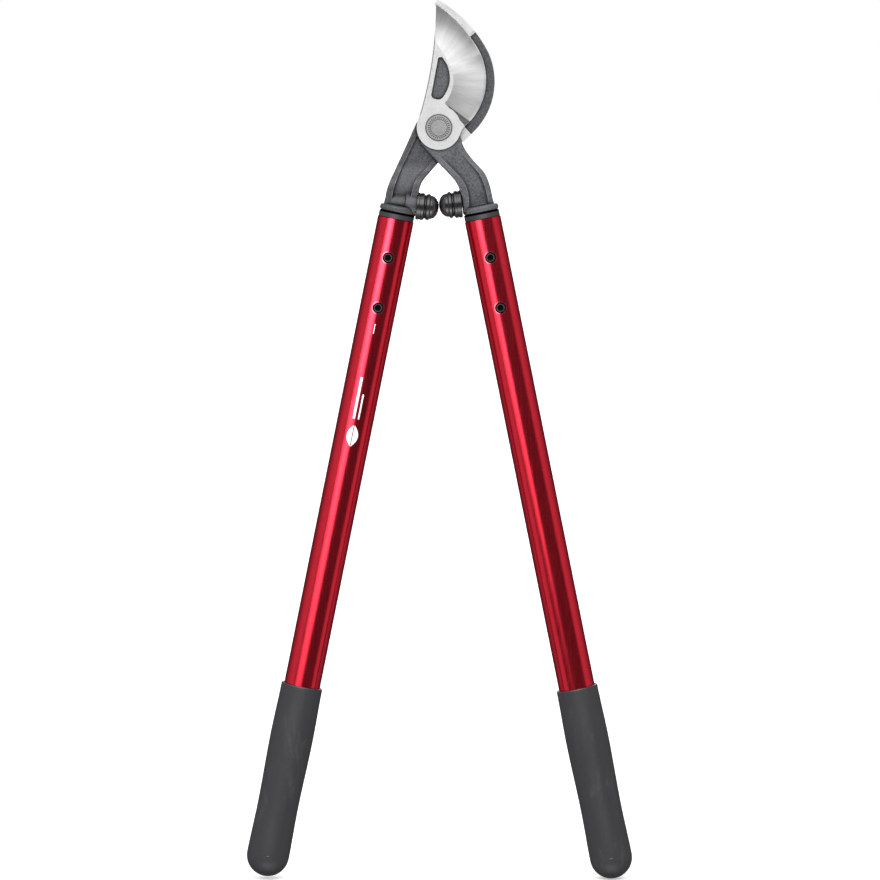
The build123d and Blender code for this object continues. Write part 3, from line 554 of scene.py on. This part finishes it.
def panel_left(z):
    """X of the left wall of the sunken panel at a height, less its width."""
    return PANEL_LEFT + (z - 0.027) * 0.005 / 0.0266


def blade_look(face):
    """The blade is ground all over its head, apart from the sunken panel; its arm is dark. The walls of
    the sunken panel are near black, and its spine and side walls a darker steel, both as painted shade.
    """
    centre = face.center
    depth = -centre.y
    facing = -face.normal.y
    radius = math.hypot(centre.x, centre.z)
    on_boss = radius < BOSS_RADIUS + 0.0002 and depth > BLADE_FRONT - 0.0005
    if centre.z < ARM_TOP or (centre.z < 0.0 and not on_boss and depth > BLADE_REAR + 0.0003):
        return "blade_forging"
    if facing > 0.999:
        in_panel = abs(depth - BLADE_PANEL) < 0.0001 and centre.z > 0.02 and radius > 0.02
        return "blade_forging" if in_panel else "ground_flat"
    near_panel = PANEL_LEFT < centre.x < PANEL_RIGHT and PANEL_FOOT < centre.z < PANEL_TOP
    # painted shade on the walls of the sunken panel
    if -0.5 < facing < 0.9 and near_panel and centre.x > panel_left(centre.z) + 0.0008:
        return "dark_wall"
    if facing > 0.9:
        return "ground_bevel"
    # painted shade on the spine and the side walls
    if facing > 0.55 and centre.x < 0:
        return "spine_edge"
    if facing > 0.3 and centre.z < 0.02:
        return "blade_forging"
    if on_boss or centre.x < 0:
        return "spine_edge"
    return "ground_flat"


def hook_look(face):
    """The hook is dark, and ground where the blade slides on it and along its sloping tip."""
    centre = face.center
    depth = -centre.y
    facing = -face.normal.y
    radius = math.hypot(centre.x, centre.z)
    slides = depth > HOOK_FRONT - 0.0001 and facing > 0.99
    if slides and (centre.z > -0.001 or (radius < 0.0300 and centre.x > 0)):
        return "ground_flat"
    if centre.z > 0.07 and 0.5 < facing < 0.999:
        return "hook_tip"
    return "hook_forging"


BLADE_LOOKS = ["blade_forging", "ground_flat", "ground_bevel", "dark_wall", "spine_edge"]
finish_faces("blade", BLADE_LOOKS, blade_look)
finish_faces("hook", ["hook_forging", "ground_flat", "hook_tip"], hook_look)


def bolt_look(face):
    """The bolt head is plain steel on its top; its sunken marks and its edge get a near black steel as
    painted shade.
    """
    on_top = face.normal.y < -0.99 and -face.center.y > BOLT_TOP - 0.0001
    return "bolt_steel" if on_top else "bolt_shadow"


finish_faces("pivot_bolt", ["bolt_steel", "bolt_shadow"], bolt_look)


# ------------------------------------------------------------------ detailed pieces
def make_object(name, points, faces, look, body):
    """A smooth mesh object that rides on a body."""
    mesh = bpy.data.meshes.new(name)
    mesh.from_pydata(points, [], faces)
    mesh.polygons.foreach_set("use_smooth", [True] * len(mesh.polygons))
    mesh.materials.append(MATERIALS[look])
    piece = bpy.data.objects.new(name, mesh)
    bpy.context.scene.collection.objects.link(piece)
    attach(piece, body)
    return piece


def turned(start, along, first, profile, swell=None):
    """Points and faces of a closed turned shape.

    The profile is a list of (distance along, radius) that begins and ends on the axis.
    The swell, if given, adds to a radius from its distance along and its angle.
    """
    second = along.cross(first)
    points = [start + along * profile[0][0]]
    faces = []
    rings = profile[1:-1]
    for reach, radius in rings:
        for step in range(AROUND):
            angle = 2 * math.pi * step / AROUND
            extra = swell(reach, angle) if swell else 0.0
            spoke = first * math.cos(angle) + second * math.sin(angle)
            points.append(start + along * reach + spoke * (radius + extra))
    points.append(start + along * profile[-1][0])
    last = len(points) - 1
    for step in range(AROUND):
        after = (step + 1) % AROUND
        faces.append((0, 1 + after, 1 + step))
        for ring in range(len(rings) - 1):
            here = 1 + ring * AROUND
            there = here + AROUND
            faces.append((here + step, here + after, there + after, there + step))
        tail = 1 + (len(rings) - 1) * AROUND
        faces.append((tail + step, tail + after, last))
    return points, faces


def arc(centre, radius, start, end, count):
    """Points (along, radius) of part of a circle; angles in degrees from the along axis."""
    points = []
    for i in range(count + 1):
        angle = math.radians(start + (end - start) * i / count)
        points.append((centre[0] + radius * math.cos(angle), centre[1] + radius * math.sin(angle)))
    return points


def eased(knots, count):
    """Smooth points through knots of (along, radius), level at each knot."""
    points = []
    for (a0, r0), (a1, r1) in zip(knots, knots[1:]):
        for i in range(count):
            part = i / count
            rise = (1 - math.cos(math.pi * part)) / 2
            points.append((a0 + (a1 - a0) * part, r0 + (r1 - r0) * rise))
    points.append(knots[-1])
    return points


def grip(side, name, body):
    """Closed end hand grip with a rounded mouth and a parting line on each side."""
    extra = RIGHT_EXTRA if side > 0 else 0.0
    top = GRIP_START + extra
    end = GRIP_END + extra - 0.02 * MM
    start, across, down = handle_frame(side)
    round_start = end - GRIP_END_RADIUS
    inner = PLUG_END + extra
    profile = [(inner, 0.0), (inner, GRIP_BORE), (top + 0.6 * MM, GRIP_BORE)]
    profile += arc((top + 0.8 * MM, 15.5 * MM), 0.8 * MM, 250, 90, 10)
    knots = [(top + 2.0 * MM, 16.32 * MM), (top + 42.0 * MM, 16.92 * MM)]
    knots += [(top + 98.0 * MM, 16.08 * MM), (round_start, GRIP_END_RADIUS - 0.02 * MM)]
    profile += eased(knots, 26)
    profile += arc((round_start, 0.0), GRIP_END_RADIUS - 0.02 * MM, 90, 3, 30)[1:]
    profile.append((end, 0.0))

    def parting_line(reach, angle):
        """A fine raised line on both sides, outside the mouth."""
        if reach < top + 1.5 * MM or reach > round_start:
            return 0.0
        off = abs(math.sin(angle)) * 16.0 * MM
        return 0.08 * MM * math.exp(-((off / (0.35 * MM)) ** 2))

    points, faces = turned(start, down, across, profile, parting_line)
    piece = make_object(name + "_grip_sleeve", points, faces, "grip_rubber", body)
    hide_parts(name + "_grip")
    gate_mark(name, body, start + down * round_start, across, down)


def gate_mark(name, body, centre, across, down):
    """The small moulding mark on the front of the rounded end."""
    lean = math.radians(8)
    out = (Vector((0, -1, 0)) * math.cos(lean) - down * math.sin(lean)).normalized()
    base = centre + out * (GRIP_END_RADIUS - 0.36 * MM)
    profile = [(0.0, 0.0), (0.0, 1.9), (0.36, 1.9), (0.46, 1.75), (0.48, 1.5), (0.36, 1.25), (0.34, 0.0)]
    profile = [(along * MM, radius * MM) for along, radius in profile]
    points, faces = turned(base, out, across, profile)
    make_object(name + "_grip_gate_mark", points, faces, "grip_rubber", body)


def bumper(side, name, body):
    """Rubber stop: a wide ring, a narrow neck, a thin ring and a dome."""
    facing = Vector((-side * math.cos(BUMPER_LEAN), 0, -math.sin(BUMPER_LEAN)))
    reach, height = BUMPER_BASE[side]
    start = Vector((side * reach, -HANDLE_DEPTH, height))
    step = BUMPER_STEP[side]
    length = BUMPER_LENGTH[side] + BUMPER_EXTRA
    wide, neck, thin, dome = 10.9 * MM, 9.5 * MM, 10.6 * MM, 9.5 * MM
    profile = [(BUMPER_BORE_DEPTH, 0.0), (BUMPER_BORE_DEPTH, BUMPER_BORE), (0.0, BUMPER_BORE)]
    profile.append((0.0, wide - 1.2 * MM))
    profile += arc((1.0 * MM, wide - 1.0 * MM), 1.0 * MM, 180, 90, 8)
    for part, drop in ((0.36, 0.0), (0.42, 0.22), (0.50, 0.26), (0.58, 0.22), (0.64, 0.02)):
        profile.append((step * part, wide - drop * MM))
    profile += arc((step - 1.0 * MM, wide - 1.0 * MM), 1.0 * MM, 90, 10, 8)
    profile += arc((step + 0.75 * MM, neck + 0.55 * MM), 0.62 * MM, 200, 340, 10)
    profile += arc((step + 2.35 * MM, thin - 0.75 * MM), 0.75 * MM, 170, 90, 6)
    profile += arc((step + 3.55 * MM, thin - 0.75 * MM), 0.75 * MM, 90, 12, 6)
    dome_start = step + 4.8 * MM
    profile.append((dome_start, dome - 0.1 * MM))
    dome_length = length - dome_start
    for i in range(1, 28):
        part = math.radians(90 * i / 28)
        out = math.sin(part)
        profile.append((dome_start + dome_length * out, dome * math.cos(part) ** 0.94))
    profile.append((length, 0.0))
    points, faces = turned(start, facing, Vector((0, -1, 0)), profile)
    piece = make_object(name + "_bumper_stop", points, faces, "bumper_rubber", body)
    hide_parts(name + "_bumper")


def on_tube(side, along, off):
    """A point on the front of a tube: a distance along it and a distance round it."""
    start, across, down = handle_frame(side)
    angle = off / TUBE_RADIUS
    out = Vector((0, -1, 0)) * math.cos(angle) + across * math.sin(angle)
    return start + down * along + out * (TUBE_RADIUS + 0.015 * MM)


def print_strip(side, name, body, places, left, right):
    """A printed shape between two edges, given for each place along the tube."""
    steps = 8
    points, faces = [], []
    for along, near, far in zip(places, left, right):
        for j in range(steps + 1):
            points.append(on_tube(side, along, near + (far - near) * j / steps))
    width = steps + 1
    for i in range(len(places) - 1):
        for j in range(steps):
            a = i * width + j
            faces.append((a, a + 1, a + width + 1, a + width))
    piece = make_object(name, points, faces, "white_print", body)
    thick = piece.modifiers.new("ink", "SOLIDIFY")
    thick.thickness = 0.03 * MM
    thick.offset = 0.0


def leaf_mark(side, body):
    """A plain leaf and bars printed along the left tube."""
    base, length, half = 258.0 * MM, 17.0 * MM, 4.6 * MM
    count = 20
    places = [base - length * i / count for i in range(count + 1)]
    outline = [half * math.sin(math.pi * i / count) ** 0.8 for i in range(1, count)]
    outline = [0.0] + outline + [0.0]
    rib = 0.35 * MM
    for label, sign in (("left", -1), ("right", 1)):
        inside = [sign * rib] * (count + 1)
        outside = [sign * max(width, rib + 0.05 * MM) for width in outline]
        low = [min(a, b) for a, b in zip(inside, outside)]
        high = [max(a, b) for a, b in zip(inside, outside)]
        print_strip(side, "leaf_print_" + label, body, places, low, high)
    bars = [("long", 236.0, 203.0, -1.6, 2.0), ("short", 236.0, 216.0, 2.2, 1.2)]
    bars.append(("small", 168.0, 160.0, 0.4, 0.6))
    for label, first, last, middle, width in bars:
        places = [(first + (last - first) * i / 4) * MM for i in range(5)]
        low = [(middle - width / 2) * MM] * 5
        high = [(middle + width / 2) * MM] * 5
        print_strip(side, "bar_print_" + label, body, places, low, high)


for side, name, body in ((-1, "left", "hook_half"), (1, "right", "blade_half")):
    grip(side, name, body)
    bumper(side, name, body)
leaf_mark(-1, "hook_half")


# ------------------------------------------------------------------ surroundings
def build_floor():
    """A plain white floor under the grips, left out of the reflections."""
    mesh = bpy.data.meshes.new("floor")
    size = 40.0
    low = cad_low.z - 0.0005
    corners = [(-size, -size, low), (size, -size, low), (size, size, low), (-size, size, low)]
    mesh.from_pydata(corners, [], [(0, 1, 2, 3)])
    floor = bpy.data.objects.new("floor", mesh)
    bpy.context.scene.collection.objects.link(floor)
    material, tree, shader = new_material("floor_white")
    colour = ramp(tree, noise(tree, 3.0, 2.0), [(0.3, grey(0.88)), (0.7, grey(0.9))])
    tree.links.new(colour, shader.inputs["Base Color"])
    shader.inputs["Roughness"].default_value = 1.0
    shader.inputs["Specular IOR Level"].default_value = 0.0
    shader.inputs["Emission Color"].default_value = (1.0, 1.0, 1.0, 1.0)
    shader.inputs["Emission Strength"].default_value = FLOOR_GLOW
    mesh.materials.append(material)
    floor.visible_glossy = False
    floor.visible_diffuse = False
    floor.visible_shadow = False


def band(tree, angle, start, end, soft):
    """1 between two angles in degrees and 0 outside them, with soft edges."""
    rise = remap(tree, angle, start - soft / 2, start + soft / 2, 0.0, 1.0)
    fall = remap(tree, angle, end - soft / 2, end + soft / 2, 1.0, 0.0)
    return calculate(tree, "MULTIPLY", rise, fall)


def patch(tree, around, height, across, up, soft_across, soft_up, strength):
    """A soft edged rectangle of light in the studio."""
    sideways = band(tree, around, *across, soft_across)
    shape = calculate(tree, "MULTIPLY", sideways, band(tree, height, *up, soft_up))
    return calculate(tree, "MULTIPLY", shape, strength)


def build_world():
    """A white studio, dimmer behind, with a dark gap in front and brighter patches round it."""
    world = bpy.data.worlds.new("studio")
    world.use_nodes = True
    tree = world.node_tree
    tree.nodes.clear()
    split = add(tree, "ShaderNodeSeparateXYZ")
    tree.links.new(add(tree, "ShaderNodeTexCoord").outputs["Generated"], split.inputs["Vector"])
    x, y, z = split.outputs
    toward = calculate(tree, "MULTIPLY", y, -1.0)
    around = calculate(tree, "DEGREES", calculate(tree, "ARCTAN2", x, toward))
    height = calculate(tree, "DEGREES", calculate(tree, "ARCSINE", z))

    gap = patch(tree, around, height, GAP_AROUND, GAP_HEIGHT, 9.0, 8.0, GAP_DARK)
    level = calculate(tree, "MULTIPLY", calculate(tree, "SUBTRACT", 1.0, gap), ROOM_LIGHT)
    behind = calculate(tree, "ABSOLUTE", around)
    level = calculate(tree, "MULTIPLY", level, remap(tree, behind, 84.0, 114.0, 1.0, 0.60))
    level = calculate(tree, "MULTIPLY", level, remap(tree, behind, 114.0, 142.0, 1.0, 0.32))
    front = patch(tree, around, height, FRONT_AROUND, FRONT_HEIGHT, 20.0, 16.0, FRONT_LIGHT)
    level = calculate(tree, "ADD", level, front)
    low = patch(tree, around, height, LOW_AROUND, LOW_HEIGHT, 14.0, 14.0, LOW_LIGHT)
    level = calculate(tree, "ADD", level, low)
    top = calculate(tree, "MULTIPLY", band(tree, height, 40.0, 200.0, 40.0), TOP_LIGHT)
    level = calculate(tree, "ADD", level, top)

    seen = add(tree, "ShaderNodeBackground")
    seen.inputs["Color"].default_value = (1.0, 1.0, 1.0, 1.0)
    studio = add(tree, "ShaderNodeBackground")
    studio.inputs["Color"].default_value = (1.0, 1.0, 1.0, 1.0)
    tree.links.new(level, studio.inputs["Strength"])
    mix = add(tree, "ShaderNodeMixShader")
    tree.links.new(add(tree, "ShaderNodeLightPath").outputs["Is Camera Ray"], mix.inputs["Fac"])
    tree.links.new(studio.outputs["Background"], mix.inputs[1])
    tree.links.new(seen.outputs["Background"], mix.inputs[2])
    output = add(tree, "ShaderNodeOutputWorld")
    tree.links.new(mix.outputs["Shader"], output.inputs["Surface"])
    bpy.context.scene.world = world


def build_strip_light():
    """A tall soft light in front and on the left, seen only in the polished tubes."""
    left, right = STRIP_ACROSS
    bottom, top = STRIP_HEIGHTS
    mesh = bpy.data.meshes.new("strip_light")
    corners = [(left, bottom), (right, bottom), (right, top), (left, top)]
    corners = [(x, -STRIP_DEPTH, z) for x, z in corners]
    mesh.from_pydata(corners, [], [(0, 1, 2, 3)])
    light = bpy.data.objects.new("strip_light", mesh)
    bpy.context.scene.collection.objects.link(light)

    material = bpy.data.materials.new("strip_light")
    material.use_nodes = True
    tree = material.node_tree
    tree.nodes.clear()
    split = add(tree, "ShaderNodeSeparateXYZ")
    tree.links.new(object_place(tree), split.inputs["Vector"])
    rise = remap(tree, split.outputs["Z"], bottom, top, 0.0, 1.0)
    stops = [((z - bottom) / (top - bottom), grey(level / STRIP_STRENGTH)) for z, level in STRIP_LEVELS]
    level = calculate(tree, "MULTIPLY", ramp(tree, rise, stops), STRIP_STRENGTH)
    sideways = split.outputs["X"]
    level = calculate(tree, "MULTIPLY", level, remap(tree, sideways, left, STRIP_FULL[0], 0.0, 1.0))
    level = calculate(tree, "MULTIPLY", level, remap(tree, sideways, STRIP_FULL[1], right, 1.0, 0.0))
    glow = add(tree, "ShaderNodeEmission")
    tree.links.new(level, glow.inputs["Strength"])
    both = add(tree, "ShaderNodeAddShader")
    tree.links.new(glow.outputs["Emission"], both.inputs[0])
    tree.links.new(add(tree, "ShaderNodeBsdfTransparent").outputs["BSDF"], both.inputs[1])
    output = add(tree, "ShaderNodeOutputMaterial")
    tree.links.new(both.outputs["Shader"], output.inputs["Surface"])
    mesh.materials.append(material)

    tubes = bpy.data.collections.new("polished_tubes")
    for name in ("left_tube", "right_tube"):
        tubes.objects.link(nodes[name])
    light.light_linking.receiver_collection = tubes
    light.visible_camera = False
    light.visible_diffuse = False
    light.visible_shadow = False


def build_lamp(name, place, power, lit):
    """A large square lamp aimed at the tool, which lights only the pieces that the test lets in."""
    data = bpy.data.lights.new(name, "AREA")
    data.energy = power
    data.size = LAMP_SIZE
    lamp = bpy.data.objects.new(name, data)
    bpy.context.scene.collection.objects.link(lamp)
    lamp.location = place
    aim = Vector((0.0, 0.0, -0.25)) - Vector(place)
    lamp.rotation_euler = aim.to_track_quat("-Z", "Y").to_euler()
    receivers = bpy.data.collections.new(name + "_receivers")
    for piece in list(bpy.context.scene.objects):
        if piece.type == "MESH" and lit(piece.name):
            receivers.objects.link(piece)
    lamp.light_linking.receiver_collection = receivers


def is_soft(name):
    """The matt black pieces need more light than the rest."""
    return "grip" in name or "collar" in name


def is_dull(name):
    """All but the tubes, their print and the strip light."""
    return not any(word in name for word in ("tube", "print", "strip"))


def build_camera():
    data = bpy.data.cameras.new("camera")
    camera = bpy.data.objects.new("camera", data)
    place = Vector((0.0009, -4.6, 0.062))
    target = Vector((0.0009, -0.020, -0.2449))
    width_at_target = 0.6908
    camera.location = place
    camera.rotation_euler = (target - place).to_track_quat("-Z", "Y").to_euler()
    data.sensor_width = 36.0
    data.lens = 36.0 * (target - place).length / width_at_target
    data.clip_start = 0.1
    data.clip_end = 200.0
    bpy.context.scene.collection.objects.link(camera)
    bpy.context.scene.camera = camera


build_world()
build_strip_light()
build_lamp("soft_box", SOFT_BOX_PLACE, SOFT_BOX_POWER, is_soft)
build_lamp("back_light", BACK_LIGHT_PLACE, BACK_LIGHT_POWER, is_dull)
build_floor()
build_camera()
bpy.context.scene.view_settings.view_transform = "Standard"
